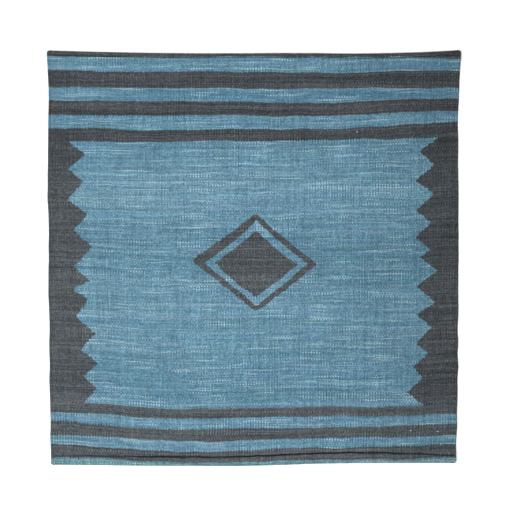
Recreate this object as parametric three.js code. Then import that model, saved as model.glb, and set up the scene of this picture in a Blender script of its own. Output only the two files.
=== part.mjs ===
// Kilim rug: one flat piece of weft-faced woollen cloth, about 0.9 m square, lying face up.
// X runs across the rug along its wefts, Y runs along its warps and Z points up.
// The origin is on the floor, under the middle of the rug. Sizes are in millimetres.
import * as THREE from "three";

// The cloth: thick wool wefts packed over stout warps, each warp showing as a rib
const CLOTH_THICKNESS = 3.6;
const NOMINAL_WIDTH = 900;
const RIB_COUNT = 150;
const RIB_RELIEF = 0.8;

// The selvedges: the outermost warps are doubled into a cord, and the edge of the cloth is round
const EDGE_ROUNDING = 1;
const EDGE_THINNING = 0.35;
const SELVEDGE_RISE = 0.5;
const SELVEDGE_GROOVE = 0.4;

// The hems: each end is turned under once and stitched through
const LAYER_GAP = 0.6;
const UPPER_HEM = { depth: 16, stitch: 12 };
const LOWER_HEM = { depth: 25, stitch: 21 };
const STITCH_GROOVE_DEPTH = 1.3;
const STITCH_GROOVE_HALF_WIDTH = 2.5;
const RAMP_LENGTH = 18;
const RAMP_STEPS = 2;
const FOLD_TURNS = [-90, -45, 0, 60];
const FIRST_RIBBED_TURN = 60;
const CORNER_RADIUS = 6;

// How coarsely the plain parts are divided, and how many stations the open face has
const RIBS_PER_PLAIN_COLUMN = 10;
const FACE_STATIONS = 3;
const SWELL_HEIGHT = 0.25;
const SWELL_LENGTH = 95;

// The two selvedges wander a little: each row gives their places at one height up the rug
const SIDE_LINES = [
  { along: -456, left: -445.5, right: 444.6 },
  { along: -390, left: -446.4, right: 443.8 },
  { along: -330, left: -447.4, right: 446.0 },
  { along: -245, left: -449.2, right: 447.6 },
  { along: -150, left: -448.7, right: 447.3 },
  { along: -50, left: -451.2, right: 448.1 },
  { along: 60, left: -450.6, right: 448.6 },
  { along: 140, left: -452.4, right: 448.8 },
  { along: 215, left: -452.3, right: 447.9 },
  { along: 295, left: -451.4, right: 447.7 },
  { along: 373, left: -451.2, right: 450.1 },
  { along: 426, left: -453.2, right: 453.0 },
  { along: 456, left: -454.1, right: 454.1 },
];

// The two folded ends bow a little: each row gives their places at one distance across the rug
const END_LINES = [
  { across: -450, lower: -453.6, upper: 455.8 },
  { across: -360, lower: -454.1, upper: 453.3 },
  { across: -268, lower: -455.5, upper: 451.3 },
  { across: -145, lower: -456.1, upper: 449.8 },
  { across: -22, lower: -456.1, upper: 449.8 },
  { across: 70, lower: -453.7, upper: 450.2 },
  { across: 132, lower: -451.5, upper: 450.0 },
  { across: 194, lower: -450.4, upper: 449.2 },
  { across: 316, lower: -449.7, upper: 450.6 },
  { across: 378, lower: -449.5, upper: 452.6 },
  { across: 450, lower: -449.5, upper: 456.4 },
];

const WOOL = new THREE.MeshStandardMaterial({ color: 0x678fa3, roughness: 0.95, metalness: 0 });

// A smooth line through one column of a table
function lineThrough(table, placeColumn, valueColumn) {
  const places = table.map((row) => row[placeColumn]);
  const values = table.map((row) => row[valueColumn]);
  const line = new THREE.CubicInterpolant(places, values, 1);
  return (place) => line.evaluate(place)[0];
}

const leftSide = lineThrough(SIDE_LINES, "along", "left");
const rightSide = lineThrough(SIDE_LINES, "along", "right");
const lowerEnd = lineThrough(END_LINES, "across", "lower");
const upperEnd = lineThrough(END_LINES, "across", "upper");

// Stations of one hem in a section along a warp, from the cut end under the rug, out round the fold,
// back over the stitching and down to the floor. Each has its distance in from the fold, the height
// of the middle of the cloth, the way its face points in degrees up from outwards, and its groove.
function hemStations(hem) {
  const half = CLOTH_THICKNESS / 2;
  const foldCentre = CLOTH_THICKNESS + LAYER_GAP / 2;
  const foldRadius = half + LAYER_GAP / 2;
  const raised = CLOTH_THICKNESS + LAYER_GAP + half;
  const stations = [{ inward: hem.depth, height: half, turn: -90, groove: 0 }];
  for (const turn of FOLD_TURNS) {
    const angle = THREE.MathUtils.degToRad(turn);
    const inward = foldCentre - foldRadius * Math.cos(angle);
    const height = foldCentre + foldRadius * Math.sin(angle);
    stations.push({ inward, height, turn, groove: 0 });
  }
  for (const side of [-1, 0, 1]) {
    const inward = hem.stitch + side * STITCH_GROOVE_HALF_WIDTH;
    const groove = side === 0 ? STITCH_GROOVE_DEPTH : 0;
    stations.push({ inward, height: raised, turn: 90, groove });
  }
  for (let step = 1; step <= RAMP_STEPS; step += 1) {
    const share = step / RAMP_STEPS;
    const inward = hem.depth + share * RAMP_LENGTH;
    const height = THREE.MathUtils.lerp(raised, half, THREE.MathUtils.smoothstep(share, 0, 1));
    stations.push({ inward, height, turn: 90, groove: 0 });
  }
  return stations.map((station) => ({ ...station, ribbed: station.turn >= FIRST_RIBBED_TURN }));
}

// All stations of the section, from the cut end at the lower hem to the one at the upper hem
function sectionStations() {
  const lower = hemStations(LOWER_HEM).map((station) => ({ ...station, end: "lower" }));
  const upper = hemStations(UPPER_HEM).map((station) => ({ ...station, end: "upper" }));
  const face = [];
  for (let step = 1; step <= FACE_STATIONS; step += 1) {
    const share = step / (FACE_STATIONS + 1);
    face.push({ share, height: CLOTH_THICKNESS / 2, turn: 90, groove: 0, ribbed: true, end: "none" });
  }
  return [...lower, ...face, ...upper.reverse()];
}

// Columns across the rug: a valley on each side of every rib, its crest between them, and one more
// at each selvedge for its round edge. A plain column is one that the unribbed faces use too.
function ribColumns() {
  const columns = [];
  for (let half = 0; half <= 2 * RIB_COUNT; half += 1) {
    const share = half / (2 * RIB_COUNT);
    const fromSide = Math.min(half, 2 * RIB_COUNT - half);
    const valley = half % 2 === 0 && fromSide > 0;
    const plain = fromSide < 2 || half % (2 * RIBS_PER_PLAIN_COLUMN) === 0;
    let relief = valley ? -RIB_RELIEF : 0;
    if (fromSide === 1) relief += SELVEDGE_RISE;
    if (fromSide === 2) relief -= SELVEDGE_GROOVE;
    columns.push({ share, relief, plain });
  }
  const rounding = EDGE_ROUNDING / NOMINAL_WIDTH;
  columns.push({ share: rounding, relief: 0, plain: true });
  columns.push({ share: 1 - rounding, relief: 0, plain: true });
  return columns.sort((a, b) => a.share - b.share);
}

// Half the thickness of the cloth at a column, which thins to a round edge at the selvedges
function halfThickness(column) {
  const fromEdge = Math.min(column.share, 1 - column.share) * NOMINAL_WIDTH;
  const reach = Math.min(fromEdge / EDGE_ROUNDING, 1);
  return (CLOTH_THICKNESS / 2) * THREE.MathUtils.lerp(EDGE_THINNING, 1, reach);
}

// How far a corner is drawn in from the side at a distance in from the fold
function cornerInset(inward) {
  const short = Math.max(CORNER_RADIUS - inward, 0);
  return CORNER_RADIUS - Math.sqrt(CORNER_RADIUS ** 2 - short ** 2);
}

// The open face is never quite level: a slow swell in the thickness of the cloth
function swell(across, along) {
  return SWELL_HEIGHT * Math.sin(across / SWELL_LENGTH + 1) * Math.cos(along / SWELL_LENGTH);
}

// One point of the cloth's outer or inner face at a station and a column
function clothPoint(station, column, outerFace) {
  const angle = THREE.MathUtils.degToRad(station.turn);
  const nominal = (column.share - 0.5) * NOMINAL_WIDTH;
  const half = halfThickness(column);
  const lower = lowerEnd(nominal);
  const upper = upperEnd(nominal);
  let offset = -half;
  if (outerFace) {
    offset = half - station.groove;
    if (station.ribbed) offset += column.relief;
  }
  const inward = station.inward - offset * Math.cos(angle);
  let along = THREE.MathUtils.lerp(lower, upper, station.share);
  if (station.end === "lower") along = lower + inward;
  if (station.end === "upper") along = upper - inward;
  if (outerFace && station.end === "none") offset += swell(nominal, along);
  const inset = cornerInset(Math.max(Math.min(along - lower, upper - along), 0));
  const left = leftSide(along) + inset;
  const right = rightSide(along) - inset;
  const across = THREE.MathUtils.lerp(left, right, column.share);
  return [across, along, station.height + offset * Math.sin(angle)];
}

// The cloth as one closed surface: rows of points at each station on its outer and inner faces,
// joined by strips, then closed at the two cut ends and along the two selvedges
function makeCloth() {
  const positions = [];
  const triangles = [];

  function addRow(station, columns, outerFace) {
    return columns.map((column) => {
      positions.push(...clothPoint(station, column, outerFace));
      return { share: column.share, point: positions.length / 3 - 1 };
    });
  }

  // Joins two rows with triangles, stepping along whichever row is behind
  function joinRows(near, far) {
    let n = 0;
    let f = 0;
    while (n < near.length - 1 || f < far.length - 1) {
      const nearNext = n < near.length - 1 ? near[n + 1].share : Infinity;
      const farNext = f < far.length - 1 ? far[f + 1].share : Infinity;
      if (nearNext <= farNext) {
        triangles.push(near[n].point, near[n + 1].point, far[f].point);
        n += 1;
      } else {
        triangles.push(near[n].point, far[f + 1].point, far[f].point);
        f += 1;
      }
    }
  }

  const stations = sectionStations();
  const columns = ribColumns();
  const plainColumns = columns.filter((column) => column.plain);
  const outer = stations.map((s) => addRow(s, s.ribbed ? columns : plainColumns, true));
  const inner = stations.map((s) => addRow(s, plainColumns, false));
  const last = stations.length - 1;
  for (let k = 0; k < last; k += 1) {
    joinRows(outer[k], outer[k + 1]);
    joinRows(inner[k + 1], inner[k]);
  }
  joinRows(inner[0], outer[0]);
  joinRows(outer[last], inner[last]);

  // The strip along each selvedge runs between the outer and inner faces
  for (let k = 0; k < last; k += 1) {
    const leftStrip = [outer[k][0], outer[k + 1][0], inner[k + 1][0], inner[k][0]];
    const rightStrip = [inner[k].at(-1), inner[k + 1].at(-1), outer[k + 1].at(-1), outer[k].at(-1)];
    for (const [a, b, c, d] of [leftStrip, rightStrip]) {
      triangles.push(a.point, b.point, c.point);
      triangles.push(a.point, c.point, d.point);
    }
  }

  const geometry = new THREE.BufferGeometry();
  geometry.setAttribute("position", new THREE.Float32BufferAttribute(positions, 3));
  geometry.setIndex(triangles);
  geometry.computeVertexNormals();
  return geometry;
}

const cloth = new THREE.Mesh(makeCloth(), WOOL);
cloth.name = "kilim_cloth";

// The tables are read from the middle of the face, so the rug moves a little to stand over its origin
const middle = new THREE.Box3().setFromObject(cloth).getCenter(new THREE.Vector3());
cloth.position.set(-middle.x, -middle.y, 0);

const rug = new THREE.Group();
rug.name = "kilim_rug";
rug.add(cloth);

export default rug;
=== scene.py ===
import math

import bpy
import numpy as np
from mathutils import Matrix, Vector


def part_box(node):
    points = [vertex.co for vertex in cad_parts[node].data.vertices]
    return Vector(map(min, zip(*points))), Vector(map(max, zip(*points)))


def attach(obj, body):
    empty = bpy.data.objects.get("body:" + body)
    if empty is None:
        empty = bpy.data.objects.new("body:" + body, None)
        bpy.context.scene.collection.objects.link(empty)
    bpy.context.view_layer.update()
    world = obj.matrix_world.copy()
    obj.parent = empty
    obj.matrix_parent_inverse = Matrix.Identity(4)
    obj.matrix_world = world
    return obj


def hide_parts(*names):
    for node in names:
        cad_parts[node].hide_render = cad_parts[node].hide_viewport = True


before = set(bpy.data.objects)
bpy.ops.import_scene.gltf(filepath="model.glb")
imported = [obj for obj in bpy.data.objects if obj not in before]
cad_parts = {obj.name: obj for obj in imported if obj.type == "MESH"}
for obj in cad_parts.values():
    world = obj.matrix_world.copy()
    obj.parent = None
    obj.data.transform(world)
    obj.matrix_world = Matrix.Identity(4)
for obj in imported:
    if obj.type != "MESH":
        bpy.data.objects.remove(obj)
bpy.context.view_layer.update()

# The floor, the light and the camera.
# A plain pale floor, and soft studio light that comes mostly from above with a little more from the
# lower left, so that the ribs show. The camera looks straight down on the rug from far off.

MM = 0.001
PICTURE_WIDTH = 512
PICTURE_HEIGHT = 524
PIXEL = 2.195 * MM
RUG_IN_PICTURE = (253.85, 258.1)
CAMERA_HEIGHT = 6.0
SENSOR = 36.0
FLOOR_SIZE = 14.0
FLOOR_WHITE = "#f6f6f5"
STUDIO_WHITE = (1, 1, 1, 1)
STUDIO_LIGHT = 0.66


def linear(hex_colour):
    """An sRGB hex colour as linear red, green, blue and alpha."""
    parts = [int(hex_colour[i : i + 2], 16) / 255 for i in (1, 3, 5)]
    return [c / 12.92 if c <= 0.04045 else ((c + 0.055) / 1.055) ** 2.4 for c in parts] + [1.0]


def add(tree, kind, inputs=None, **settings):
    """Adds a node with its settings. An input is a number, a colour, a socket, or a node, which stands
    for its first output."""
    made = tree.nodes.new(kind)
    for name, value in settings.items():
        setattr(made, name, value)
    for key, value in (inputs or {}).items():
        if isinstance(value, bpy.types.Node):
            tree.links.new(value.outputs[0], made.inputs[key])
        elif isinstance(value, bpy.types.NodeSocket):
            tree.links.new(value, made.inputs[key])
        else:
            made.inputs[key].default_value = value
    return made


bpy.ops.object.select_all(action="DESELECT")
bpy.ops.mesh.primitive_plane_add(size=FLOOR_SIZE, location=(0, 0, 0))
floor = bpy.context.object
floor.name = "floor"

# Rolled matt paint: no gloss and no pattern, so that the eye sees only the rug's soft shadow on it
floor_paint = bpy.data.materials.new("rolled_matt_paint")
floor_paint.use_nodes = True
floor_tree = floor_paint.node_tree
floor_tree.nodes.clear()
floor_finish = add(floor_tree, "ShaderNodeBsdfDiffuse", {"Color": linear(FLOOR_WHITE)})
add(floor_tree, "ShaderNodeOutputMaterial", {"Surface": floor_finish})
floor.data.materials.append(floor_paint)

world = bpy.data.worlds.new("studio")
world.use_nodes = True
background = world.node_tree.nodes["Background"]
background.inputs["Color"].default_value = STUDIO_WHITE
background.inputs["Strength"].default_value = STUDIO_LIGHT
bpy.context.scene.world = world
bpy.context.scene.view_settings.view_transform = "Standard"

# Each lamp: its place in metres, its size in metres and its power in watts
LAMPS = [
    {"name": "key_softbox", "place": (-1.5, -0.6, 3.3), "size": 2.6, "power": 119.5},
    {"name": "top_softbox", "place": (0.0, 0.3, 3.4), "size": 2.6, "power": 24},
]
for lamp in LAMPS:
    light = bpy.data.lights.new(lamp["name"], "AREA")
    light.shape = "SQUARE"
    light.size = lamp["size"]
    light.energy = lamp["power"]
    holder = bpy.data.objects.new(lamp["name"], light)
    bpy.context.scene.collection.objects.link(holder)
    holder.location = lamp["place"]
    holder.rotation_euler = (-Vector(lamp["place"])).to_track_quat("-Z", "Y").to_euler()

camera_data = bpy.data.cameras.new("camera")
camera = bpy.data.objects.new("camera", camera_data)
bpy.context.scene.collection.objects.link(camera)
camera_data.sensor_width = SENSOR
camera_data.lens = SENSOR * CAMERA_HEIGHT / (PICTURE_HEIGHT * PIXEL)
camera.location = (
    (PICTURE_WIDTH / 2 - RUG_IN_PICTURE[0]) * PIXEL,
    (RUG_IN_PICTURE[1] - PICTURE_HEIGHT / 2) * PIXEL,
    CAMERA_HEIGHT,
)
bpy.context.scene.camera = camera

# The woven cloth.
# One flat piece of kilim: thick hand-spun wool wefts, greyed blue and charcoal, beaten down over stout
# warps that show as ribs. It is one web from the loom, its ends turned under once and stitched through.

CLOTH_THICKNESS = 3.6 * MM
NOMINAL_WIDTH = 900 * MM
RIB_COUNT = 150
RIB_PITCH = NOMINAL_WIDTH / RIB_COUNT
RIB_RELIEF = 0.8 * MM
RIB_FULLNESS = 0.6
COLUMNS_PER_RIB = 3
FACE_ROWS = 56
LAYER_GAP = 0.6 * MM
UPPER_STITCH = 10.5 * MM
HEM_BEYOND_STITCH = 4 * MM
RAMP_LENGTH = 18 * MM
CORNER_RADIUS = 5.5 * MM
EDGE_ROUNDING = 1.8 * MM
EDGE_THINNING = 0.3
EDGE_COLUMNS = (0.35, 0.999)
SELVEDGE_RISE = 0.45 * MM
SELVEDGE_GROOVE = 0.6 * MM

# The two selvedges wander and scallop a little: each row gives a height up the rug and their places at
# it, in mm
SIDE_LINES = [
    (-456, -445.5, 443.6), (-421, -445.8, 442.9), (-395, -447.5, 443.8), (-369, -446.5, 445.6),
    (-342, -447.0, 445.2), (-316, -447.6, 446.0), (-290, -448.5, 446.7), (-263, -449.4, 446.2),
    (-237, -448.2, 448.3), (-211, -449.1, 446.5), (-184, -449.5, 448.1), (-158, -448.7, 446.4),
    (-131, -449.2, 447.9), (-105, -450.2, 448.4), (-79, -451.5, 448.0), (-52, -451.3, 448.2),
    (-26, -451.4, 448.1), (0, -450.5, 448.9), (27, -451.1, 448.6), (53, -450.4, 448.7),
    (79, -450.9, 448.3), (106, -451.8, 448.5), (132, -453.5, 448.7), (158, -452.9, 448.6),
    (185, -453.1, 448.0), (211, -452.4, 447.5), (237, -452.3, 448.0), (264, -451.9, 447.9),
    (290, -452.0, 447.1), (316, -451.5, 447.4), (343, -450.8, 449.2), (369, -451.1, 450.1),
    (395, -452.1, 451.0), (422, -453.5, 452.8), (448, -454.6, 453.8), (458, -454.4, 454.0),
]

# The two folded ends bow a little, in mm, and so does the stitching of the lower hem above its fold.
# The pull is how deep the stitches draw the cloth in, as a share of their groove.
END_LINES = {
    "across": (-450, -360, -268, -145, -22, 70, 132, 194, 316, 378, 450),
    "lower": (
        -453.6, -454.1, -455.5, -456.1, -456.1, -453.7, -451.5, -450.4, -449.7, -449.5, -449.5,
    ),
    "upper": (455.8, 453.3, 451.3, 449.8, 449.8, 450.2, 450.0, 449.2, 450.6, 452.6, 456.4),
    "stitch": (21.0, 20.7, 20.6, 20.3, 21.5, 22.6, 23.6, 24.0, 22.0, 19.6, 17.4),
    "pull": (0.15, 0.4, 0.8, 1.0, 1.0, 1.2, 1.2, 1.1, 0.9, 0.6, 0.4),
}

# The wefts aren't quite straight. Each row is a line between two colours, in mm along the rug at nine
# places across it. The middle place names the line on the loom. The wool is blue before the first line,
# and each line changes it to the other colour.
LINE_PLACES = (-430, -330, -225, -112, 0, 112, 225, 330, 430)
COLOUR_LINES = [
    (-437.5, -438.8, -444.8, -447.9, -445.8, -441.8, -442.1, -440.0, -437.0),
    (-407.1, -413.8, -421.2, -423.8, -419.9, -414.6, -414.0, -411.5, -406.5),
    (-388.5, -391.8, -398.1, -399.9, -398.9, -395.5, -391.6, -391.2, -387.3),
    (-354.6, -364.7, -372.2, -375.5, -371.6, -371.2, -368.9, -367.8, -361.1),
    (-338.7, -341.6, -349.3, -351.2, -349.0, -346.6, -345.2, -344.9, -342.0),
    (-315.0, -318.7, -326.9, -329.0, -326.4, -323.7, -325.2, -323.7, -319.0),
    (258.0, 257.3, 256.0, 258.4, 257.5, 258.6, 262.4, 262.3, 268.0),
    (286.7, 286.1, 281.4, 283.8, 284.8, 284.1, 287.1, 293.8, 302.2),
    (314.3, 315.2, 313.0, 314.7, 313.0, 311.6, 314.6, 321.3, 321.1),
    (347.8, 345.4, 345.4, 346.1, 343.0, 340.9, 344.3, 349.2, 351.8),
    (375.2, 374.3, 375.0, 375.6, 373.7, 373.2, 374.0, 374.9, 373.3),
    (414.2, 412.2, 409.4, 412.2, 409.4, 409.0, 409.0, 412.7, 414.1),
    (444.7, 442.7, 442.3, 442.4, 442.6, 443.2, 441.6, 443.2, 438.6),
]
LOOM_LINES = [line[LINE_PLACES.index(0)] for line in COLOUR_LINES]
LINES_BELOW_FIELD = 6
FIELD_START = LOOM_LINES[LINES_BELOW_FIELD - 1]
FIELD_END = LOOM_LINES[LINES_BELOW_FIELD]

# The cloth on the loom, from one cut end to the other, with both hems let down, in mm
WOVEN_START = -485
WOVEN_LENGTH = 960


def smooth_line(places, values, at):
    """A smooth line through values at places, read at each place in at."""
    places = np.asarray(places, float)
    values = np.asarray(values, float)
    slopes = np.gradient(values, places)
    at = np.clip(at, places[0], places[-1])
    k = np.clip(np.searchsorted(places, at) - 1, 0, len(places) - 2)
    gap = places[k + 1] - places[k]
    t = (at - places[k]) / gap
    start = values[k] * (1 + 2 * t) * (1 - t) ** 2 + slopes[k] * gap * t * (1 - t) ** 2
    stop = values[k + 1] * t**2 * (3 - 2 * t) - slopes[k + 1] * gap * t**2 * (1 - t)
    return start + stop


# Columns across the cloth, by their share of the width: each rib has a valley and two shoulders, and each
# selvedge has two more for its round edge
rib_parts = np.arange(RIB_COUNT * COLUMNS_PER_RIB + 1)
edge_shares = [part * EDGE_ROUNDING / NOMINAL_WIDTH for part in EDGE_COLUMNS]
far_edge_shares = [1 - share for share in edge_shares]
shares = np.sort(np.concatenate([rib_parts / rib_parts[-1], edge_shares, far_edge_shares]))
nominal_mm = (shares - 0.5) * NOMINAL_WIDTH / MM
lower_fold = smooth_line(END_LINES["across"], END_LINES["lower"], nominal_mm) * MM
upper_fold = smooth_line(END_LINES["across"], END_LINES["upper"], nominal_mm) * MM
lower_stitch = smooth_line(END_LINES["across"], END_LINES["stitch"], nominal_mm) * MM
lower_pull = smooth_line(END_LINES["across"], END_LINES["pull"], nominal_mm)

from_edge = np.minimum(shares, 1 - shares) * NOMINAL_WIDTH
edge_part = np.clip(from_edge / EDGE_ROUNDING, 0, 1)
edge_roundness = np.sqrt(1 - (1 - edge_part) ** 2)
half_thickness = CLOTH_THICKNESS / 2 * (EDGE_THINNING + (1 - EDGE_THINNING) * edge_roundness)
rib_place = shares * RIB_COUNT % 1
rib_height = (np.sin(np.pi * rib_place).clip(0) ** RIB_FULLNESS - 1) * RIB_RELIEF
in_selvedge = (from_edge < RIB_PITCH) & (edge_part >= 1)
rib_height = np.where(in_selvedge, rib_height + SELVEDGE_RISE, rib_height)
rib_height = np.where(edge_part < 1, 0, rib_height)
beside_selvedge = np.isclose(from_edge, RIB_PITCH)
rib_height = np.where(beside_selvedge, -RIB_RELIEF - SELVEDGE_GROOVE, rib_height)

# Rows of one hem in a section along a warp, from the cut end under the rug, round the fold, over the
# stitching and down to the floor. The profile is that of the groove that the stitches pull: how far each
# of its points is from them and how deep, in mm.
FOLD_TURNS = (-90, -67.5, -45, -22.5, 0, 22.5, 45, 67.5, 90)
STITCH_PROFILE = [(-3.6, 0.0), (-2.2, 0.3), (-1.2, 1.8), (0.0, 2.4), (1.2, 1.8), (2.2, 0.3), (3.6, 0.0)]
GROOVE_DEPTH = max(depth for _, depth in STITCH_PROFILE) * MM
UPPER_PULL = 0.2
RAMP_STEPS = 5

HALF = CLOTH_THICKNESS / 2
FOLD_CENTRE = CLOTH_THICKNESS + LAYER_GAP / 2
FOLD_RADIUS = HALF + LAYER_GAP / 2
RAISED = CLOTH_THICKNESS + LAYER_GAP + HALF


def hem_rows(stitch, pull):
    """Rows of a hem: how far in each is from the fold at every column, its height, turn and groove."""
    depth = stitch + HEM_BEYOND_STITCH
    rows = [(depth, HALF, -90, 0), ((depth + FOLD_CENTRE) / 2, HALF, -90, 0)]
    for turn in FOLD_TURNS:
        angle = math.radians(turn)
        inward = np.full_like(stitch, FOLD_CENTRE - FOLD_RADIUS * math.cos(angle))
        rows.append((inward, FOLD_CENTRE + FOLD_RADIUS * math.sin(angle), turn, 0))
    for offset, groove in STITCH_PROFILE:
        rows.append((stitch + offset * MM, RAISED, 90, groove * pull * MM))
    for step in range(1, RAMP_STEPS + 1):
        share = step / RAMP_STEPS
        ease = share * share * (3 - 2 * share)
        rows.append((depth + share * RAMP_LENGTH, RAISED + (HALF - RAISED) * ease, 90, 0))
    return rows


line_places = np.array([smooth_line(LINE_PLACES, line, nominal_mm) for line in COLOUR_LINES])


def along_on_loom(place):
    """Where the points of a row, at their places along the laid rug, were on the loom, in mm."""
    place_mm = place / MM
    columns = range(len(place_mm))
    woven = np.array([np.interp(place_mm[k], line_places[:, k], LOOM_LINES) for k in columns])
    below = np.minimum(place_mm - line_places[0], 0)
    above = np.maximum(place_mm - line_places[-1], 0)
    return woven + below + above


# No two ribs are quite alike: each has its own depth, and rises and falls a little along its length
SEED = 11
RIB_UNEVENNESS = 0.25
LEAST_RIB = 0.5
MOST_RIB = 1.5
rng = np.random.default_rng(SEED)
rib_index = np.minimum((shares * RIB_COUNT).astype(int), RIB_COUNT - 1)
rib_weight = 1 + RIB_UNEVENNESS * rng.standard_normal(RIB_COUNT)[rib_index]
rib_weight = np.clip(rib_weight, LEAST_RIB, MOST_RIB)
rib_phase = rng.uniform(0, 2 * np.pi, RIB_COUNT)[rib_index]

# The stitches of the lower hem stray a little, in mm, and aren't all pulled equally tight
STRAY_PLACES = 46
STRAY = 0.9
LOOSEST = 0.6
TIGHTEST = 1.3
MOST_PULL = 1.35
stray_places = np.linspace(nominal_mm[0], nominal_mm[-1], STRAY_PLACES)
tightness = rng.uniform(LOOSEST, TIGHTEST, STRAY_PLACES)
lower_pull = np.minimum(lower_pull * np.interp(nominal_mm, stray_places, tightness), MOST_PULL)
strays = rng.uniform(-STRAY, STRAY, STRAY_PLACES)
lower_stitch = lower_stitch + np.interp(nominal_mm, stray_places, strays) * MM

# The face is never quite level: it swells slowly, and each rib by itself too. The lengths are in mm.
SWELL_HEIGHT = 0.25 * MM
SWELL_LENGTH = 95
RIB_SWELL_HEIGHT = 0.12 * MM
RIB_SWELL_LENGTH = 31


def cloth_row(end, row, outer):
    """The points of one row on the outer or the inner face, where they were on the loom, and how far
    the stitching tucks them in."""
    inward, height, turn, groove = row
    angle = math.radians(turn)
    relief = rib_height * np.where(rib_height < 0, rib_weight, 1)
    offset = half_thickness + relief - groove if outer else -(half_thickness + relief)
    if end == "face":
        place = lower_fold + (upper_fold - lower_fold) * inward
        middle = place
        if outer:
            swell = np.sin(nominal_mm / SWELL_LENGTH + 1) * np.cos(place / MM / SWELL_LENGTH)
            rib_swell = np.sin(rib_phase + place / MM / RIB_SWELL_LENGTH)
            offset = offset + SWELL_HEIGHT * swell + RIB_SWELL_HEIGHT * rib_swell
    else:
        shift = inward - offset * math.cos(angle)
        place = lower_fold + shift if end == "lower" else upper_fold - shift
        unfolded = inward
        if turn < 90:
            turned = math.radians(90 - turn) * FOLD_RADIUS
            past_fold = inward - FOLD_CENTRE if turn == -90 else 0
            unfolded = FOLD_CENTRE - turned - past_fold
        middle = lower_fold + unfolded if end == "lower" else upper_fold - unfolded
    to_end = np.maximum(np.minimum(place - lower_fold, upper_fold - place), 0)
    short = np.maximum(CORNER_RADIUS - to_end, 0)
    inset = CORNER_RADIUS - np.sqrt(CORNER_RADIUS**2 - short**2)
    heights, left_places, right_places = np.array(SIDE_LINES).T
    left = smooth_line(heights, left_places, place / MM) * MM + inset
    right = smooth_line(heights, right_places, place / MM) * MM - inset
    across = left + (right - left) * shares
    up = np.maximum(height + offset * math.sin(angle), 0)
    woven = (along_on_loom(middle) - WOVEN_START) / WOVEN_LENGTH
    tucked = np.zeros_like(shares) + (groove / GROOVE_DEPTH if outer else 0)
    return np.column_stack([across, place, up]), np.column_stack([shares, woven]), tucked


FACE_CLEARANCE = 0.004
upper_stitch = np.full_like(lower_stitch, UPPER_STITCH)
lower_rows = [("lower", row) for row in hem_rows(lower_stitch, lower_pull)]
upper_rows = [("upper", row) for row in hem_rows(upper_stitch, UPPER_PULL)]
widest_hem = lower_rows[-1][1][0].max()
hem_end = widest_hem / (upper_fold - lower_fold).min() + FACE_CLEARANCE
face_shares = np.linspace(hem_end, 1 - hem_end, FACE_ROWS)
face_rows = [("face", (share, HALF, 90, 0)) for share in face_shares]
section = lower_rows + face_rows + upper_rows[::-1]

points = []
woven_places = []
tucks = []
for outer in (True, False):
    for end, row in section if outer else section[::-1]:
        row_points, row_woven, row_tucks = cloth_row(end, row, outer)
        points.append(row_points)
        woven_places.append(row_woven)
        tucks.append(row_tucks)

# The tables are read from the middle of the face, so the cloth moves a little to lie where its solid does
points = np.concatenate(points)
solid_box = np.array(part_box("kilim_cloth"))
middle_offset = (points.max(0) + points.min(0)) / 2 - solid_box.mean(0)
points[:, :2] -= middle_offset[:2]

# The rows go right round the cloth, out along its face and back along its underside, so the last row
# joins the first. Each selvedge is then closed between the face and the underside.
row_count = 2 * len(section)
column_count = len(shares)
grid = np.arange(row_count * column_count).reshape(row_count, column_count)
near, far = grid, np.roll(grid, -1, axis=0)
quads = np.stack([near[:, :-1], near[:, 1:], far[:, 1:], far[:, :-1]], axis=-1).reshape(-1, 4)
half_count = row_count // 2
face_edge = grid[:half_count]
back_edge = grid[half_count:][::-1]
left_edge = np.stack([face_edge[:-1, 0], face_edge[1:, 0], back_edge[1:, 0], back_edge[:-1, 0]], -1)
right_edge = np.stack(
    [back_edge[:-1, -1], back_edge[1:, -1], face_edge[1:, -1], face_edge[:-1, -1]], -1
)
faces = np.concatenate([quads, left_edge, right_edge])

cloth_mesh = bpy.data.meshes.new("woven_cloth")
cloth_mesh.from_pydata(points.tolist(), [], faces.tolist())
corner_points = np.empty(len(cloth_mesh.loops), int)
cloth_mesh.loops.foreach_get("vertex_index", corner_points)
weave_map = cloth_mesh.uv_layers.new(name="weave")
weave_map.data.foreach_set("uv", np.concatenate(woven_places)[corner_points].ravel())
tuck_values = cloth_mesh.attributes.new("tucked", "FLOAT", "POINT")
tuck_values.data.foreach_set("value", np.concatenate(tucks))
cloth_mesh.polygons.foreach_set("use_smooth", [True] * len(faces))
cloth_mesh.update()
cloth = bpy.data.objects.new("woven_cloth", cloth_mesh)
bpy.context.scene.collection.objects.link(cloth)

# Where the charcoal side borders reach into the field, in mm along the loom and in ribs from the
# selvedge: a point and a hollow for each tooth of the saw edge
LEFT_TEETH = [
    (256.8, 7.3), (228, 13.6), (196, 7.5), (166, 13.1), (127, 7.2), (96, 14.4), (57, 9.2), (22.5, 15.9),
    (-23, 9.3), (-52.5, 15.3), (-75.5, 8.9), (-92, 14.7), (-135, 9.8), (-171, 16.8), (-208, 11.6),
    (-236, 17.7), (-266, 12.8), (-293, 17.2), (-328.2, 12.1),
]
RIGHT_TEETH = [
    (256.8, 7.4), (228, 14.2), (199, 8.4), (166.5, 15.6), (135, 9.1), (99, 15.6), (73, 9.9), (41, 15.7),
    (13, 10.4), (-3, 14.1), (-34, 7.7), (-64.5, 15.4), (-103.5, 8.1), (-126, 15.3), (-157, 9.5),
    (-189, 15.5), (-213.5, 11.0), (-242.5, 16.9), (-264, 12.5), (-296, 18.8), (-328.2, 12.0),
]

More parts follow.
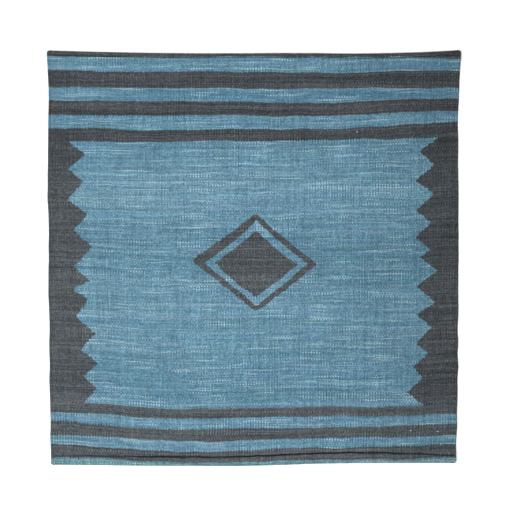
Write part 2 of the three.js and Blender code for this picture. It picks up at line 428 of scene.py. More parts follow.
# The diamond in the middle of the field: three outlines one in another. Each has its own middle, the
# reach of its four corners in ribs across and in mm along, how far its middle line drops from rib to
# rib, how much each of its four sides is drawn in, and how blunt its corners are.
DIAMONDS = [
    {
        "rib": 76.0, "along": -8.7, "left": 23.8, "right": 22.5, "up": 108, "down": 107, "drop": 0.25,
        "up_left": 0.03, "up_right": 0.16, "down_left": 0.03, "down_right": -0.12, "corner": 0.965,
    },
    {
        "rib": 76.0, "along": -10.7, "left": 18.9, "right": 18.9, "up": 94.5, "down": 92, "drop": 0.09,
        "up_left": 0.17, "up_right": 0.20, "down_left": 0.06, "down_right": -0.14, "corner": 0.985,
    },
    {
        "rib": 76.0, "along": -11.7, "left": 15.0, "right": 15.2, "up": 73, "down": 73, "drop": 0.14,
        "up_left": 0.04, "up_right": 0.25, "down_left": -0.15, "down_right": -0.10, "corner": 1.0,
    },
]

# Wool yarn, hand spun and dyed in small lots, woven weft-faced: matt, a little hairy, streaked along the
# wefts where the dye and the spinning change, and dotted, because a weft shows on every second warp.
# The warps are 3 mm apart and the wefts 1 mm, so the beads on one warp are 2 mm high.
WARP_COUNT = 2 * RIB_COUNT
BEAD_HEIGHT = 2.0
BLUE_DEEP = "#325a6e"
BLUE = "#557b8f"
BLUE_PALE = "#7ca2b3"
BLUE_SLUB = "#b0cdd5"
CHARCOAL_DEEP = "#232629"
CHARCOAL = "#43484c"
CHARCOAL_PALE = "#676f73"

# Each lot of yarn took the dye a little differently: how pale the wool is along the loom, from 0 to 1
BLUE_LOTS = [
    (-485, 0.57), (-390, 0.56), (-345, 0.575), (-300, 0.50), (-235, 0.49), (-165, 0.54), (-103, 0.56),
    (-60, 0.50), (29, 0.43), (75, 0.52), (117, 0.59), (204, 0.56), (245, 0.48), (300, 0.465), (360, 0.42),
    (410, 0.455), (475, 0.54),
]
# Painted fall-off of the light across the rug: how bright the wool is painted, from the left selvedge to the
# right one
PAINTED_SIDE_FALLOFF = [
    (0, 0.93), (0.1, 0.97), (0.3, 1.0), (0.55, 0.99), (0.7, 0.95), (0.76, 0.93), (0.83, 0.86),
    (0.9, 0.835), (1, 0.775),
]
CHARCOAL_LOTS = [
    (-485, 0.57), (-395, 0.58), (-365, 0.56), (-330, 0.59), (-300, 0.48), (-215, 0.53), (-110, 0.53),
    (-30, 0.53), (30, 0.48), (90, 0.50), (160, 0.51), (195, 0.47), (235, 0.39), (268, 0.38), (325, 0.39),
    (360, 0.395), (395, 0.35), (475, 0.42),
]
# How much paler than its row the blue of the diamond is, and how much darker the charcoal of the right border
# is painted, as fall-off of the light towards the right
DIAMOND_LOT = 0.075
RIGHT_BORDER_FALLOFF = -0.1

wool = bpy.data.materials.new("weft_faced_wool")
wool.use_nodes = True
tree = wool.node_tree
tree.nodes.clear()

weave = add(tree, "ShaderNodeUVMap", uv_map="weave")
place = add(tree, "ShaderNodeSeparateXYZ", {0: weave})
across = place.outputs["X"]
along = add(tree, "ShaderNodeMath", {0: place.outputs["Y"], 1: WOVEN_LENGTH}, operation="MULTIPLY")
along_loom = add(tree, "ShaderNodeMath", {0: along, 1: WOVEN_START}, operation="ADD")
warps = add(tree, "ShaderNodeMath", {0: across, 1: WARP_COUNT}, operation="MULTIPLY")
warp = add(tree, "ShaderNodeMath", {0: warps}, operation="FLOOR")
warp_part = add(tree, "ShaderNodeMath", {0: warps}, operation="FRACT")
odd_warp = add(tree, "ShaderNodeMath", {0: warp, 1: 2.0}, operation="MODULO")
from_left = add(tree, "ShaderNodeMath", {0: warp, 1: 0.5, 2: 0.25}, operation="MULTIPLY_ADD")
from_right = add(tree, "ShaderNodeMath", {0: RIB_COUNT, 1: from_left}, operation="SUBTRACT")

# The wefts are beaten down by hand, so they ride up and down, slowly and then again from warp to warp:
# how fast their height changes for each warp across and each mm along, and by how many mm
WANDERS = [
    {"per_warp": 0.04, "per_mm": 0.03, "height": 6.0},
    {"per_warp": 0.37, "per_mm": 0.02, "height": 2.4},
]
MEAN_WANDER = 3.1
beaten = along
for wander in WANDERS:
    wander_across = add(tree, "ShaderNodeMath", {0: warp, 1: wander["per_warp"]}, operation="MULTIPLY")
    wander_along = add(tree, "ShaderNodeMath", {0: along, 1: wander["per_mm"]}, operation="MULTIPLY")
    wander_key = add(tree, "ShaderNodeCombineXYZ", {"X": wander_across, "Y": wander_along})
    wander_noise = add(
        tree, "ShaderNodeTexNoise", {"Vector": wander_key, "Scale": 1.0, "Detail": 1.0}, noise_dimensions="2D"
    )
    beaten = add(
        tree,
        "ShaderNodeMath",
        {0: wander_noise, 1: wander["height"], 2: beaten},
        operation="MULTIPLY_ADD",
    )

# A weft goes over one warp and under the next, so its beads step by half their height from one warp to
# the other. Every colour change falls between two beads, which leaves its edge ragged like a comb.
bead_rows = add(tree, "ShaderNodeMath", {0: beaten, 1: BEAD_HEIGHT}, operation="DIVIDE")
stepped = add(tree, "ShaderNodeMath", {0: odd_warp, 1: 0.5, 2: bead_rows}, operation="MULTIPLY_ADD")
bead = add(tree, "ShaderNodeMath", {0: stepped}, operation="FLOOR")
bead_part = add(tree, "ShaderNodeMath", {0: stepped}, operation="FRACT")
weft = add(tree, "ShaderNodeMath", {0: odd_warp, 1: -0.5, 2: bead}, operation="MULTIPLY_ADD")
bead_middle = add(tree, "ShaderNodeMath", {0: weft, 1: 0.5}, operation="ADD")
bead_along = add(
    tree,
    "ShaderNodeMath",
    {0: bead_middle, 1: BEAD_HEIGHT, 2: WOVEN_START - MEAN_WANDER},
    operation="MULTIPLY_ADD",
)

# The stripes: the colour changes at every line that lies below a bead
lines_below = 0.0
for line_along in LOOM_LINES:
    passed = add(tree, "ShaderNodeMath", {0: bead_along, 1: line_along}, operation="GREATER_THAN")
    lines_below = add(tree, "ShaderNodeMath", {0: passed, 1: lines_below}, operation="ADD")
stripes = add(tree, "ShaderNodeMath", {0: lines_below, 1: 2.0}, operation="MODULO")
in_field = add(
    tree, "ShaderNodeMath", {0: lines_below, 1: LINES_BELOW_FIELD, 2: 0.5}, operation="COMPARE"
)

# Charcoal and blue wefts meet at a warp and turn back there. The weaver chose the warp by eye, for two
# beads in height at a time, and was up to 0.3 of a rib out to either side.
BEADS_PER_TURN = 2
TURN_SPREAD = 0.6
turn_height = add(tree, "ShaderNodeMath", {0: weft, 1: 1 / BEADS_PER_TURN}, operation="MULTIPLY")
turn_row = add(tree, "ShaderNodeMath", {0: turn_height}, operation="FLOOR")
turn_side = add(tree, "ShaderNodeMath", {0: across, 1: 0.5}, operation="GREATER_THAN")
turn_key = add(tree, "ShaderNodeCombineXYZ", {"X": turn_row, "Y": turn_side})
turn_chance = add(tree, "ShaderNodeTexWhiteNoise", {"Vector": turn_key}, noise_dimensions="2D")
turn_off = add(
    tree,
    "ShaderNodeMath",
    {0: turn_chance, 1: TURN_SPREAD, 2: -TURN_SPREAD / 2},
    operation="MULTIPLY_ADD",
)

# The side borders: a bead is in one if it is nearer to that selvedge than the saw edge reaches there
field_part = add(
    tree,
    "ShaderNodeMapRange",
    {"Value": bead_along, "From Min": FIELD_START, "From Max": FIELD_END},
)
border_sides = []
for teeth, from_side in ((LEFT_TEETH, from_left), (RIGHT_TEETH, from_right)):
    reach = add(tree, "ShaderNodeFloatCurve", {"Value": field_part})
    curve = reach.mapping.curves[0]
    saw = sorted(
        ((mm - FIELD_START) / (FIELD_END - FIELD_START), ribs_in / RIB_COUNT) for mm, ribs_in in teeth
    )
    curve.points[0].location = saw[0]
    curve.points[1].location = saw[-1]
    for point in saw[1:-1]:
        curve.points.new(*point)
    for point in curve.points:
        point.handle_type = "VECTOR"
    reach.mapping.update()
    reach_ribs = add(tree, "ShaderNodeMath", {0: reach, 1: RIB_COUNT, 2: turn_off}, operation="MULTIPLY_ADD")
    border_sides.append(
        add(tree, "ShaderNodeMath", {0: from_side, 1: reach_ribs}, operation="LESS_THAN")
    )
either_side = add(
    tree, "ShaderNodeMath", {0: border_sides[0], 1: border_sides[1]}, operation="MAXIMUM"
)
borders = add(tree, "ShaderNodeMath", {0: either_side, 1: in_field}, operation="MULTIPLY")
right_border = add(tree, "ShaderNodeMath", {0: border_sides[1], 1: in_field}, operation="MULTIPLY")

# The diamond: a bead is inside an outline if its distances across and along, each as a share of the
# reach of the corner on that side, sum to less than one
TURN_SHARE = 0.03
full_reach = add(tree, "ShaderNodeMath", {0: turn_off, 1: TURN_SHARE, 2: 1.0}, operation="MULTIPLY_ADD")
inside = []
for outline in DIAMONDS:
    off_rib = add(tree, "ShaderNodeMath", {0: from_left, 1: outline["rib"]}, operation="SUBTRACT")
    level = add(
        tree, "ShaderNodeMath", {0: off_rib, 1: outline["drop"], 2: bead_along}, operation="MULTIPLY_ADD"
    )
    off_along = add(tree, "ShaderNodeMath", {0: level, 1: outline["along"]}, operation="SUBTRACT")
    right = add(tree, "ShaderNodeMath", {0: off_rib, 1: outline["right"]}, operation="DIVIDE")
    left = add(tree, "ShaderNodeMath", {0: off_rib, 1: -outline["left"]}, operation="DIVIDE")
    up = add(tree, "ShaderNodeMath", {0: off_along, 1: outline["up"]}, operation="DIVIDE")
    down = add(tree, "ShaderNodeMath", {0: off_along, 1: -outline["down"]}, operation="DIVIDE")
    sideways = add(tree, "ShaderNodeMath", {0: left, 1: right}, operation="MAXIMUM")
    upright = add(tree, "ShaderNodeMath", {0: up, 1: down}, operation="MAXIMUM")
    reach_sum = add(tree, "ShaderNodeMath", {0: sideways, 1: upright}, operation="ADD")
    is_right = add(tree, "ShaderNodeMath", {0: off_rib, 1: 0.0}, operation="GREATER_THAN")
    is_up = add(tree, "ShaderNodeMath", {0: off_along, 1: 0.0}, operation="GREATER_THAN")
    left_side = add(
        tree,
        "ShaderNodeMapRange",
        {"Value": is_up, "To Min": outline["down_left"], "To Max": outline["up_left"]},
    )
    right_side = add(
        tree,
        "ShaderNodeMapRange",
        {"Value": is_up, "To Min": outline["down_right"], "To Max": outline["up_right"]},
    )
    side = add(
        tree, "ShaderNodeMapRange", {"Value": is_right, "To Min": left_side, "To Max": right_side}
    )
    on_side = add(tree, "ShaderNodeMath", {0: sideways, 1: upright}, operation="MULTIPLY")
    drawn_in = add(
        tree, "ShaderNodeMath", {0: on_side, 1: side, 2: reach_sum}, operation="MULTIPLY_ADD"
    )
    longest = add(tree, "ShaderNodeMath", {0: sideways, 1: upright}, operation="MAXIMUM")
    blunt = add(tree, "ShaderNodeMath", {0: longest, 1: outline["corner"]}, operation="DIVIDE")
    outermost = add(tree, "ShaderNodeMath", {0: drawn_in, 1: blunt}, operation="MAXIMUM")
    inside.append(add(tree, "ShaderNodeMath", {0: outermost, 1: full_reach}, operation="LESS_THAN"))
band = add(tree, "ShaderNodeMath", {0: inside[0], 1: inside[1]}, operation="SUBTRACT")
diamond = add(tree, "ShaderNodeMath", {0: band, 1: inside[2]}, operation="ADD", use_clamp=True)
stripes_and_borders = add(tree, "ShaderNodeMath", {0: stripes, 1: borders}, operation="MAXIMUM")
is_charcoal = add(tree, "ShaderNodeMath", {0: stripes_and_borders, 1: diamond}, operation="MAXIMUM")

# How the yarn changes along a weft: long tones, one that it shares with the weft beside it and one of its
# own, and short streaks. Each weft reads the noise KEY_STEP away from the last, so that it has its own.
# The rows say how fast the noise changes for each warp, where it is read and how much it counts.
KEY_STEP = 3.27
weft_pair = add(tree, "ShaderNodeMath", {0: weft}, operation="FLOOR")
pair_key = add(tree, "ShaderNodeMath", {0: weft_pair, 1: KEY_STEP}, operation="MULTIPLY")
weft_key = add(tree, "ShaderNodeMath", {0: weft, 1: KEY_STEP}, operation="MULTIPLY")
YARN_TONES = [
    {"key": pair_key, "per_warp": 0.011, "start": 0.0, "detail": 0.0, "weight": 0.08},
    {"key": weft_key, "per_warp": 0.011, "start": 0.0, "detail": 0.0, "weight": 0.8},
    {"key": weft_key, "per_warp": 0.045, "start": 50.0, "detail": 3.0, "weight": 0.36},
]
TONE_BASE = -0.69
tone = TONE_BASE
for yarn_tone in YARN_TONES:
    tone_across = add(
        tree,
        "ShaderNodeMath",
        {0: warp, 1: yarn_tone["per_warp"], 2: yarn_tone["start"]},
        operation="MULTIPLY_ADD",
    )
    tone_key = add(tree, "ShaderNodeCombineXYZ", {"X": tone_across, "Y": yarn_tone["key"]})
    tone_noise = add(
        tree,
        "ShaderNodeTexNoise",
        {"Vector": tone_key, "Scale": 1.0, "Detail": yarn_tone["detail"]},
        noise_dimensions="2D",
    )
    tone = add(
        tree,
        "ShaderNodeMath",
        {0: tone_noise, 1: yarn_tone["weight"], 2: tone},
        operation="MULTIPLY_ADD",
    )

# A speckle from bead to bead, a little weaker in the charcoal
BLUE_SPECKLE = 0.48
CHARCOAL_SPECKLE = 0.40
bead_key = add(tree, "ShaderNodeCombineXYZ", {"X": warp, "Y": weft})
bead_chance = add(tree, "ShaderNodeTexWhiteNoise", {"Vector": bead_key}, noise_dimensions="2D")
bead_turn = add(tree, "ShaderNodeMath", {0: bead_chance, 1: 0.5}, operation="SUBTRACT")
speckle = add(
    tree,
    "ShaderNodeMath",
    {0: is_charcoal, 1: CHARCOAL_SPECKLE - BLUE_SPECKLE, 2: BLUE_SPECKLE},
    operation="MULTIPLY_ADD",
)
tone = add(tree, "ShaderNodeMath", {0: bead_turn, 1: speckle, 2: tone}, operation="MULTIPLY_ADD")

# Fine bands and broad patches, which many wefts share: how many there are across the rug and along it
BANDS = (1.7, 90.0, 1.0)
PATCHES = (3.0, 14.0, 1.0)
SHARED_WEIGHT = 0.1
band_key = add(tree, "ShaderNodeVectorMath", {0: weave, 1: BANDS}, operation="MULTIPLY")
bands = add(
    tree, "ShaderNodeTexNoise", {"Vector": band_key, "Scale": 1.0, "Detail": 1.0}, noise_dimensions="2D"
)
patch_key = add(tree, "ShaderNodeVectorMath", {0: weave, 1: PATCHES}, operation="MULTIPLY")
patches = add(
    tree, "ShaderNodeTexNoise", {"Vector": patch_key, "Scale": 1.0, "Detail": 2.0}, noise_dimensions="2D"
)
for noise in (bands, patches):
    tone = add(tree, "ShaderNodeMath", {0: noise, 1: SHARED_WEIGHT, 2: tone}, operation="MULTIPLY_ADD")

# The two wools, each dyed in its lots, from its deepest shade to its palest
wools = []
for lots, own_part, own_lot_and_falloff, shades in (
    (BLUE_LOTS, inside[0], DIAMOND_LOT, (BLUE_DEEP, BLUE, BLUE_PALE)),
    (CHARCOAL_LOTS, right_border, RIGHT_BORDER_FALLOFF, (CHARCOAL_DEEP, CHARCOAL, CHARCOAL_PALE)),
):
    lot = add(tree, "ShaderNodeFloatCurve", {"Value": place.outputs["Y"]})
    curve = lot.mapping.curves[0]
    steps = [((mm - WOVEN_START) / WOVEN_LENGTH, paleness) for mm, paleness in lots]
    curve.points[0].location = steps[0]
    curve.points[1].location = steps[-1]
    for point in steps[1:-1]:
        curve.points.new(*point)
    lot.mapping.update()
    # Here the diamond's blue is made paler, as its own lot, and the right border's charcoal is painted
    # darker, as fall-off of the light
    lot_and_falloff_here = add(tree, "ShaderNodeMath", {0: own_part, 1: own_lot_and_falloff, 2: lot}, operation="MULTIPLY_ADD")
    dye = add(tree, "ShaderNodeMath", {0: lot_and_falloff_here, 1: tone}, operation="ADD")
    dyed = add(tree, "ShaderNodeValToRGB", {"Fac": dye})
    stops = dyed.color_ramp.elements
    stops[0].position = 0.0
    stops[0].color = linear(shades[0])
    stops[1].position = 1.0
    stops[1].color = linear(shades[2])
    stops.new(0.5).color = linear(shades[1])
    wools.append(dyed)

# Pale slubs, where the yarn was spun thick and took less dye: faint ones on two wefts side by side, and
# strong ones that show on every second warp of one weft. The rows say how fast their noise changes for
# each warp, between which of its values a slub comes up, and how strong it then is.
SLUBS = [
    {"key": pair_key, "per_warp": 0.014, "none": 0.69, "full": 0.78, "strength": 0.24},
    {"key": weft_key, "per_warp": 0.022, "none": 0.67, "full": 0.77, "strength": 0.75},
]
SLUB_START = 90.0
blue_wool = wools[0].outputs["Color"]
for slub in SLUBS:
    slub_across = add(
        tree,
        "ShaderNodeMath",
        {0: warp, 1: slub["per_warp"], 2: SLUB_START},
        operation="MULTIPLY_ADD",
    )
    slub_key = add(tree, "ShaderNodeCombineXYZ", {"X": slub_across, "Y": slub["key"]})
    slub_noise = add(
        tree, "ShaderNodeTexNoise", {"Vector": slub_key, "Scale": 1.0, "Detail": 1.0}, noise_dimensions="2D"
    )
    paleness = add(
        tree,
        "ShaderNodeMapRange",
        {"Value": slub_noise, "From Min": slub["none"], "From Max": slub["full"], "To Max": slub["strength"]},
        interpolation_type="SMOOTHSTEP",
    )
    slubbed = add(
        tree, "ShaderNodeMix", {0: paleness, 6: blue_wool, 7: linear(BLUE_SLUB)}, data_type="RGBA"
    )
    blue_wool = slubbed.outputs[2]
yarn = add(tree, "ShaderNodeMix", {0: is_charcoal, 6: blue_wool, 7: wools[1]}, data_type="RGBA")

# Casts of green and violet, which come and go along each weft and, more slowly, from band to band. They
# are a little stronger in the charcoal.
CAST_PER_WARP = 0.11
CAST_START = 20.0
WEFT_CAST = (0.32, 0.08, 0.21)
BAND_CAST = (0.30, 0.08, 0.22)
CAST_BASE = (-0.31, -0.08, -0.215)
BLUE_CAST_STRENGTH = 0.85
CHARCOAL_CAST_STRENGTH = 0.90
cast_across = add(
    tree, "ShaderNodeMath", {0: warp, 1: CAST_PER_WARP, 2: CAST_START}, operation="MULTIPLY_ADD"
)
cast_key = add(tree, "ShaderNodeCombineXYZ", {"X": cast_across, "Y": weft_key})
cast_noise = add(
    tree, "ShaderNodeTexNoise", {"Vector": cast_key, "Scale": 1.0, "Detail": 1.0}, noise_dimensions="2D"
)
cast = CAST_BASE
for noise, spread in ((bands, BAND_CAST), (cast_noise, WEFT_CAST)):
    cast = add(
        tree,
        "ShaderNodeVectorMath",
        {0: noise.outputs["Color"], 1: spread, 2: cast},
        operation="MULTIPLY_ADD",
    )
cast_strength = add(
    tree,
    "ShaderNodeMath",
    {0: is_charcoal, 1: CHARCOAL_CAST_STRENGTH - BLUE_CAST_STRENGTH, 2: BLUE_CAST_STRENGTH},
    operation="MULTIPLY_ADD",
)
cast_scaled = add(tree, "ShaderNodeVectorMath", {0: cast, 3: cast_strength}, operation="SCALE")
casts = add(tree, "ShaderNodeVectorMath", {0: cast_scaled, 1: (1.0, 1.0, 1.0)}, operation="ADD")
cast_yarn = add(tree, "ShaderNodeVectorMath", {0: yarn.outputs[2], 1: casts}, operation="MULTIPLY")

# The wool is painted a little darker towards the right selvedge, and a little darker at the left one, as
# painted fall-off of the light. It is also greyer and greener at the two folded ends, where it is handled
# most: from where to where along the loom, in mm, and what it does to the colour
END_WEAR = [
    {"from": -441.0, "to": -453.0, "cast": (1.01, 0.975, 0.855)},
    {"from": 436.0, "to": 446.0, "cast": (1.03, 1.045, 0.98)},
]
# Painted fall-off of the light: the yarn is darkened towards the selvedges, most of all the right one
painted_falloff = add(tree, "ShaderNodeFloatCurve", {"Value": across})
curve = painted_falloff.mapping.curves[0]
curve.points[0].location = PAINTED_SIDE_FALLOFF[0]
curve.points[1].location = PAINTED_SIDE_FALLOFF[-1]
for point in PAINTED_SIDE_FALLOFF[1:-1]:
    curve.points.new(*point)
painted_falloff.mapping.update()
falloff_shaded_yarn = add(tree, "ShaderNodeVectorMath", {0: cast_yarn, 3: painted_falloff}, operation="SCALE")
worn_shaded_yarn = falloff_shaded_yarn
for wear in END_WEAR:
    at_end = add(
        tree,
        "ShaderNodeMapRange",
        {"Value": along_loom, "From Min": wear["from"], "From Max": wear["to"]},
    )
    handled_shaded_yarn = add(tree, "ShaderNodeVectorMath", {0: falloff_shaded_yarn, 1: wear["cast"]}, operation="MULTIPLY")
    worn_shaded = add(tree, "ShaderNodeMix", {0: at_end, 6: worn_shaded_yarn, 7: handled_shaded_yarn}, data_type="RGBA")
    worn_shaded_yarn = worn_shaded.outputs[2]

# Shade in the valleys between warps, between the beads on a warp, and deep in the stitched crease
VALLEY_SHADE = 0.25
NICK_SHADE = 0.3
SHADE_SHARPNESS = 3.0
CREASE_SHADE = 0.88
warp_side = add(tree, "ShaderNodeMath", {0: warp_part, 1: 2.0, 2: -1.0}, operation="MULTIPLY_ADD")
warp_side_out = add(tree, "ShaderNodeMath", {0: warp_side}, operation="ABSOLUTE")
valley = add(tree, "ShaderNodeMath", {0: warp_side_out, 1: SHADE_SHARPNESS}, operation="POWER")
bead_side = add(tree, "ShaderNodeMath", {0: bead_part, 1: 2.0, 2: -1.0}, operation="MULTIPLY_ADD")
bead_side_out = add(tree, "ShaderNodeMath", {0: bead_side}, operation="ABSOLUTE")
nick = add(tree, "ShaderNodeMath", {0: bead_side_out, 1: SHADE_SHARPNESS}, operation="POWER")
valley_shade = add(
    tree, "ShaderNodeMath", {0: valley, 1: -VALLEY_SHADE, 2: 1.0}, operation="MULTIPLY_ADD"
)
nick_shade = add(tree, "ShaderNodeMath", {0: nick, 1: -NICK_SHADE, 2: 1.0}, operation="MULTIPLY_ADD")
weave_shade = add(tree, "ShaderNodeMath", {0: valley_shade, 1: nick_shade}, operation="MULTIPLY")
tucked = add(tree, "ShaderNodeAttribute", attribute_name="tucked")
tuck_shade = add(
    tree,
    "ShaderNodeMapRange",
    {"Value": tucked.outputs["Fac"], "From Max": 0.7, "To Min": 1.0, "To Max": 1.0 - CREASE_SHADE},
)
shade = add(tree, "ShaderNodeMath", {0: weave_shade, 1: tuck_shade}, operation="MULTIPLY")

# Each warp stands a little higher or lower than its neighbours for a stretch, and so catches more or less
# light
STAND_PER_MM = 0.012
STAND_LIGHT = 0.72
STAND_SPREAD = 0.56
stand_across = add(tree, "ShaderNodeMath", {0: warp, 1: KEY_STEP}, operation="MULTIPLY")
stand_along = add(tree, "ShaderNodeMath", {0: along, 1: STAND_PER_MM}, operation="MULTIPLY")
stand_key = add(tree, "ShaderNodeCombineXYZ", {"X": stand_across, "Y": stand_along})
stand = add(
    tree, "ShaderNodeTexNoise", {"Vector": stand_key, "Scale": 1.0, "Detail": 1.0}, noise_dimensions="2D"
)
stand_light = add(
    tree, "ShaderNodeMath", {0: stand, 1: STAND_SPREAD, 2: STAND_LIGHT}, operation="MULTIPLY_ADD"
)
shade = add(tree, "ShaderNodeMath", {0: shade, 1: stand_light}, operation="MULTIPLY")

# Painted shade on the second warp of each pair, which lies on the far side of its rib from the key light, and
# in places a little deeper
RIB_PATCHES = (16.0, 9.0, 1.0)
rib_key = add(tree, "ShaderNodeVectorMath", {0: weave, 1: RIB_PATCHES}, operation="MULTIPLY")
rib_noise = add(
    tree, "ShaderNodeTexNoise", {"Vector": rib_key, "Scale": 1.0, "Detail": 1.0}, noise_dimensions="2D"
)
painted_rib_shade_amount = add(
    tree,
    "ShaderNodeMapRange",
    {"Value": rib_noise, "From Min": 0.35, "From Max": 0.65, "To Min": -0.04, "To Max": -0.15},
)
# The second warp of each pair is painted darker, as shade on the rib's far flank
rib_shade = add(tree, "ShaderNodeMath", {0: odd_warp, 1: painted_rib_shade_amount, 2: 1.0}, operation="MULTIPLY_ADD")
shade = add(tree, "ShaderNodeMath", {0: shade, 1: rib_shade}, operation="MULTIPLY")
shaded = add(tree, "ShaderNodeVectorMath", {0: worn_shaded_yarn, 3: shade}, operation="SCALE")

# Relief of the beads and of the fibres on them. A fibre of wool is 0.03 mm thick, too fine to show, so
# the fibres are drawn as streaks 1 mm long and 0.3 mm wide.
BEAD_ROUNDNESS = 0.5
FIBRES = (900.0, 3200.0, 1.0)
FIBRE_HEIGHT = 0.3
WOOL_ROUGHNESS = 0.82
FIBRE_ROUGHNESS = 0.15
bead_round = add(tree, "ShaderNodeMath", {0: bead_side_out, 1: 2.0}, operation="POWER")
warp_round = add(tree, "ShaderNodeMath", {0: warp_side_out, 1: 2.0}, operation="POWER")
bead_drop = add(
    tree, "ShaderNodeMath", {0: bead_round, 1: -BEAD_ROUNDNESS, 2: 1.0}, operation="MULTIPLY_ADD"
)
warp_drop = add(
    tree, "ShaderNodeMath", {0: warp_round, 1: -BEAD_ROUNDNESS, 2: bead_drop}, operation="MULTIPLY_ADD"
)
fibre_key = add(tree, "ShaderNodeVectorMath", {0: weave, 1: FIBRES}, operation="MULTIPLY")
fibres = add(
    tree, "ShaderNodeTexNoise", {"Vector": fibre_key, "Scale": 1.0, "Detail": 2.0}, noise_dimensions="2D"
)
relief_height = add(
    tree, "ShaderNodeMath", {0: fibres, 1: FIBRE_HEIGHT, 2: warp_drop}, operation="MULTIPLY_ADD"
)
relief = add(tree, "ShaderNodeBump", {"Height": relief_height, "Strength": 0.5, "Distance": 0.5 * MM})
roughness = add(
    tree,
    "ShaderNodeMath",
    {0: fibres, 1: FIBRE_ROUGHNESS, 2: WOOL_ROUGHNESS},
    operation="MULTIPLY_ADD",
)
wool_finish = add(
    tree,
    "ShaderNodeBsdfPrincipled",
    {
        "Base Color": shaded,
        "Roughness": roughness,
        "Normal": relief,
        "IOR": 1.5,
        "Specular IOR Level": 0.15,
        "Sheen Weight": 0.05,
        "Sheen Roughness": 0.5,
    },
)
add(tree, "ShaderNodeOutputMaterial", {"Surface": wool_finish})
cloth.data.materials.append(wool)

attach(cloth, "root")
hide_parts("kilim_cloth")

# The hem stitches.
# A dark two-ply wool thread in backstitch, which holds each turned-under end down. Its stitches lie end to
# end in the groove that they pull into the cloth. The thread is painted near black, so that it also stands
# for the shade deep in that groove.

STITCH_PITCH = 8.0 * MM
STITCH_MIDDLE = 3.6 * MM
STITCHED_WIDTH = 880 * MM
THREAD_RADIUS = 0.55 * MM
THREAD_SIDES = 6
THREAD_RISE = 0.4 * MM
THREAD_DEEP_AND_CREASE_SHADE = "#0e0f11"
THREAD_DARK_AND_CREASE_SHADE = "#1b1d20"
# The two steps by which each end of a stitch goes down into the cloth, in mm, and how thin it gets
STITCH_ENDS = [
    {"on": 1.1, "down": 0.25, "size": 0.9},
    {"on": 0.7, "down": 0.6, "size": 0.6},
]
SAME_PLACE = 0.01 * MM

bpy.ops.object.select_all(action="DESELECT")
bpy.ops.mesh.primitive_cylinder_add(
    vertices=THREAD_SIDES,
    radius=THREAD_RADIUS,
    depth=STITCH_MIDDLE,
    location=(0, 0, 0),
    rotation=(0, math.radians(90), 0),
)
stitch = bpy.context.object
bpy.ops.object.transform_apply(location=True, rotation=True, scale=True)
bpy.ops.object.mode_set(mode="EDIT")
for side in (-1, 1):
    for step in STITCH_ENDS:
        bpy.ops.mesh.select_all(action="DESELECT")
        bpy.ops.object.mode_set(mode="OBJECT")
        end_place = max(side * face.center.x for face in stitch.data.polygons)
        for face in stitch.data.polygons:
            face.select = side * face.center.x > end_place - SAME_PLACE
        bpy.ops.object.mode_set(mode="EDIT")
        bpy.ops.mesh.select_mode(type="FACE")
        bpy.ops.mesh.extrude_region_move(
            TRANSFORM_OT_translate={"value": (side * step["on"] * MM, 0, -step["down"] * MM)}
        )
        bpy.ops.transform.resize(value=(step["size"], step["size"], step["size"]))
bpy.ops.object.mode_set(mode="OBJECT")
bpy.ops.object.shade_smooth()

# Waxed wool thread, two plies twisted together about 1 mm from one turn to the next: smoother than the
# cloth, with a dull gleam and a slanting ripple
thread = bpy.data.materials.new("waxed_wool_thread")
thread.use_nodes = True
thread_tree = thread.node_tree
thread_tree.nodes.clear()
thread_place = add(thread_tree, "ShaderNodeTexCoord")
plies = add(
    thread_tree,
    "ShaderNodeTexWave",
    {"Vector": thread_place.outputs["Object"], "Scale": 300.0, "Distortion": 1.5},
    wave_type="BANDS",
    bands_direction="DIAGONAL",
)
# The near-black thread colours are partly the thread's own dark wool and partly painted shade of the crease
thread_colour = add(thread_tree, "ShaderNodeValToRGB", {"Fac": plies.outputs["Fac"]})
thread_colour.color_ramp.elements[0].color = linear(THREAD_DEEP_AND_CREASE_SHADE)
thread_colour.color_ramp.elements[1].color = linear(THREAD_DARK_AND_CREASE_SHADE)
thread_bump = add(
    thread_tree,
    "ShaderNodeBump",
    {"Height": plies.outputs["Fac"], "Strength": 0.6, "Distance": 0.2 * MM},
)
thread_finish = add(
    thread_tree,
    "ShaderNodeBsdfPrincipled",
    {
        "Base Color": thread_colour,
        "Normal": thread_bump,
        "Roughness": 0.7,
        "IOR": 1.5,
        "Specular IOR Level": 0.3,
    },
)
add(thread_tree, "ShaderNodeOutputMaterial", {"Surface": thread_finish})
stitch.data.materials.append(thread)

count = int(STITCHED_WIDTH / STITCH_PITCH)
for name, end in (("lower_hem_stitches", "lower"), ("upper_hem_stitches", "upper")):
    bpy.ops.object.select_all(action="DESELECT")
    for k in range(count):
        nominal = (k - (count - 1) / 2) * STITCH_PITCH / MM
        fold = smooth_line(END_LINES["across"], END_LINES[end], nominal) * MM
        if end == "lower":
            place_up = fold + np.interp(nominal, nominal_mm, lower_stitch)
            pull = np.interp(nominal, nominal_mm, lower_pull)
        else:
            place_up = fold - UPPER_STITCH
            pull = UPPER_PULL
        copy = stitch.copy()
        copy.data = stitch.data.copy()
        bpy.context.scene.collection.objects.link(copy)
        copy.location = (
            nominal * MM - middle_offset[0],
            place_up - middle_offset[1],
            RAISED + HALF - pull * GROOVE_DEPTH + THREAD_RISE,
        )
        copy.select_set(True)
        bpy.context.view_layer.objects.active = copy
    bpy.ops.object.join()
    bpy.ops.object.transform_apply(location=True, rotation=True, scale=True)
    joined = bpy.context.object
    joined.name = name
    joined.data.name = name
    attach(joined, "root")
bpy.data.objects.remove(stitch)

# The slub tufts.
# Small lumps of undyed fleece that came in with the yarn. They were woven in with it and stand a little
# out of the face of the cloth.

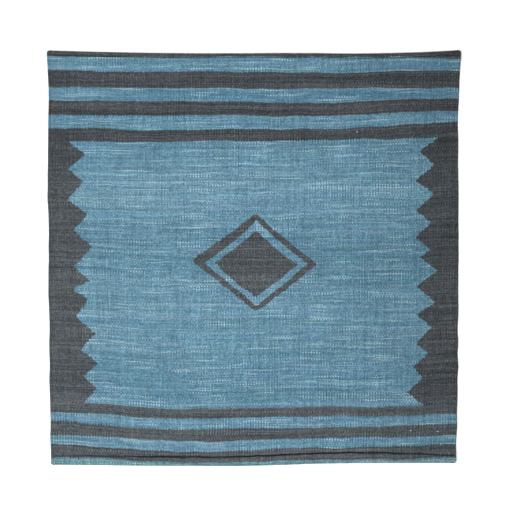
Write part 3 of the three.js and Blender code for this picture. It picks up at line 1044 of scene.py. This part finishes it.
# Where each one is, in mm, how far it is turned, in degrees, and its size
TUFTS = [
    {"place": (343.9, -378.2), "turn": 50, "size": 1.0},
    {"place": (403.1, -380.4), "turn": 155, "size": 0.9},
    {"place": (226.3, 276.8), "turn": 60, "size": 0.9},
]
TUFT_RADIUS = 1.0 * MM
TUFT_LENGTH = 2.2
TUFT_WIDTH = 0.8
TUFT_HEIGHT = 0.6
TUFT_RISE = 0.3 * MM
TUFT_LUMPS = 0.25 * MM
FLEECE = "#c9cdc6"
FLEECE_DEEP = "#9fa6a2"

# Raw fleece, felted by rubbing: quite matt, a little mottled, and paler than anything else on the rug
fleece = bpy.data.materials.new("undyed_fleece")
fleece.use_nodes = True
fleece_tree = fleece.node_tree
fleece_tree.nodes.clear()
fleece_place = add(fleece_tree, "ShaderNodeTexCoord")
fleece_noise = add(
    fleece_tree,
    "ShaderNodeTexNoise",
    {"Vector": fleece_place.outputs["Object"], "Scale": 1500.0, "Detail": 2.0},
)
fleece_colour = add(fleece_tree, "ShaderNodeValToRGB", {"Fac": fleece_noise})
fleece_colour.color_ramp.elements[0].color = linear(FLEECE_DEEP)
fleece_colour.color_ramp.elements[1].color = linear(FLEECE)
fleece_finish = add(
    fleece_tree,
    "ShaderNodeBsdfPrincipled",
    {"Base Color": fleece_colour, "Roughness": 0.95, "IOR": 1.5, "Specular IOR Level": 0.2},
)
add(fleece_tree, "ShaderNodeOutputMaterial", {"Surface": fleece_finish})

for k, tuft in enumerate(TUFTS):
    bpy.ops.object.select_all(action="DESELECT")
    bpy.ops.mesh.primitive_ico_sphere_add(subdivisions=3, radius=TUFT_RADIUS, location=(0, 0, 0))
    lump = bpy.context.object
    bpy.ops.object.mode_set(mode="EDIT")
    bpy.ops.mesh.select_all(action="SELECT")
    bpy.ops.transform.resize(value=(TUFT_LENGTH * tuft["size"], TUFT_WIDTH * tuft["size"], TUFT_HEIGHT))
    bpy.ops.transform.vertex_random(offset=TUFT_LUMPS, uniform=0.3, normal=0.7, seed=k + 1)
    bpy.ops.mesh.vertices_smooth(factor=0.4)
    bpy.ops.transform.rotate(
        value=math.radians(-tuft["turn"]), orient_axis="Z", center_override=(0, 0, 0)
    )
    bpy.ops.object.mode_set(mode="OBJECT")
    bpy.ops.object.shade_smooth()
    lump.location = (tuft["place"][0] * MM, tuft["place"][1] * MM, CLOTH_THICKNESS + TUFT_RISE)
    bpy.ops.object.transform_apply(location=True, rotation=True, scale=True)
    lump.name = f"slub_tuft_{k + 1}"
    lump.data.name = lump.name
    lump.data.materials.append(fleece)
    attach(lump, "root")
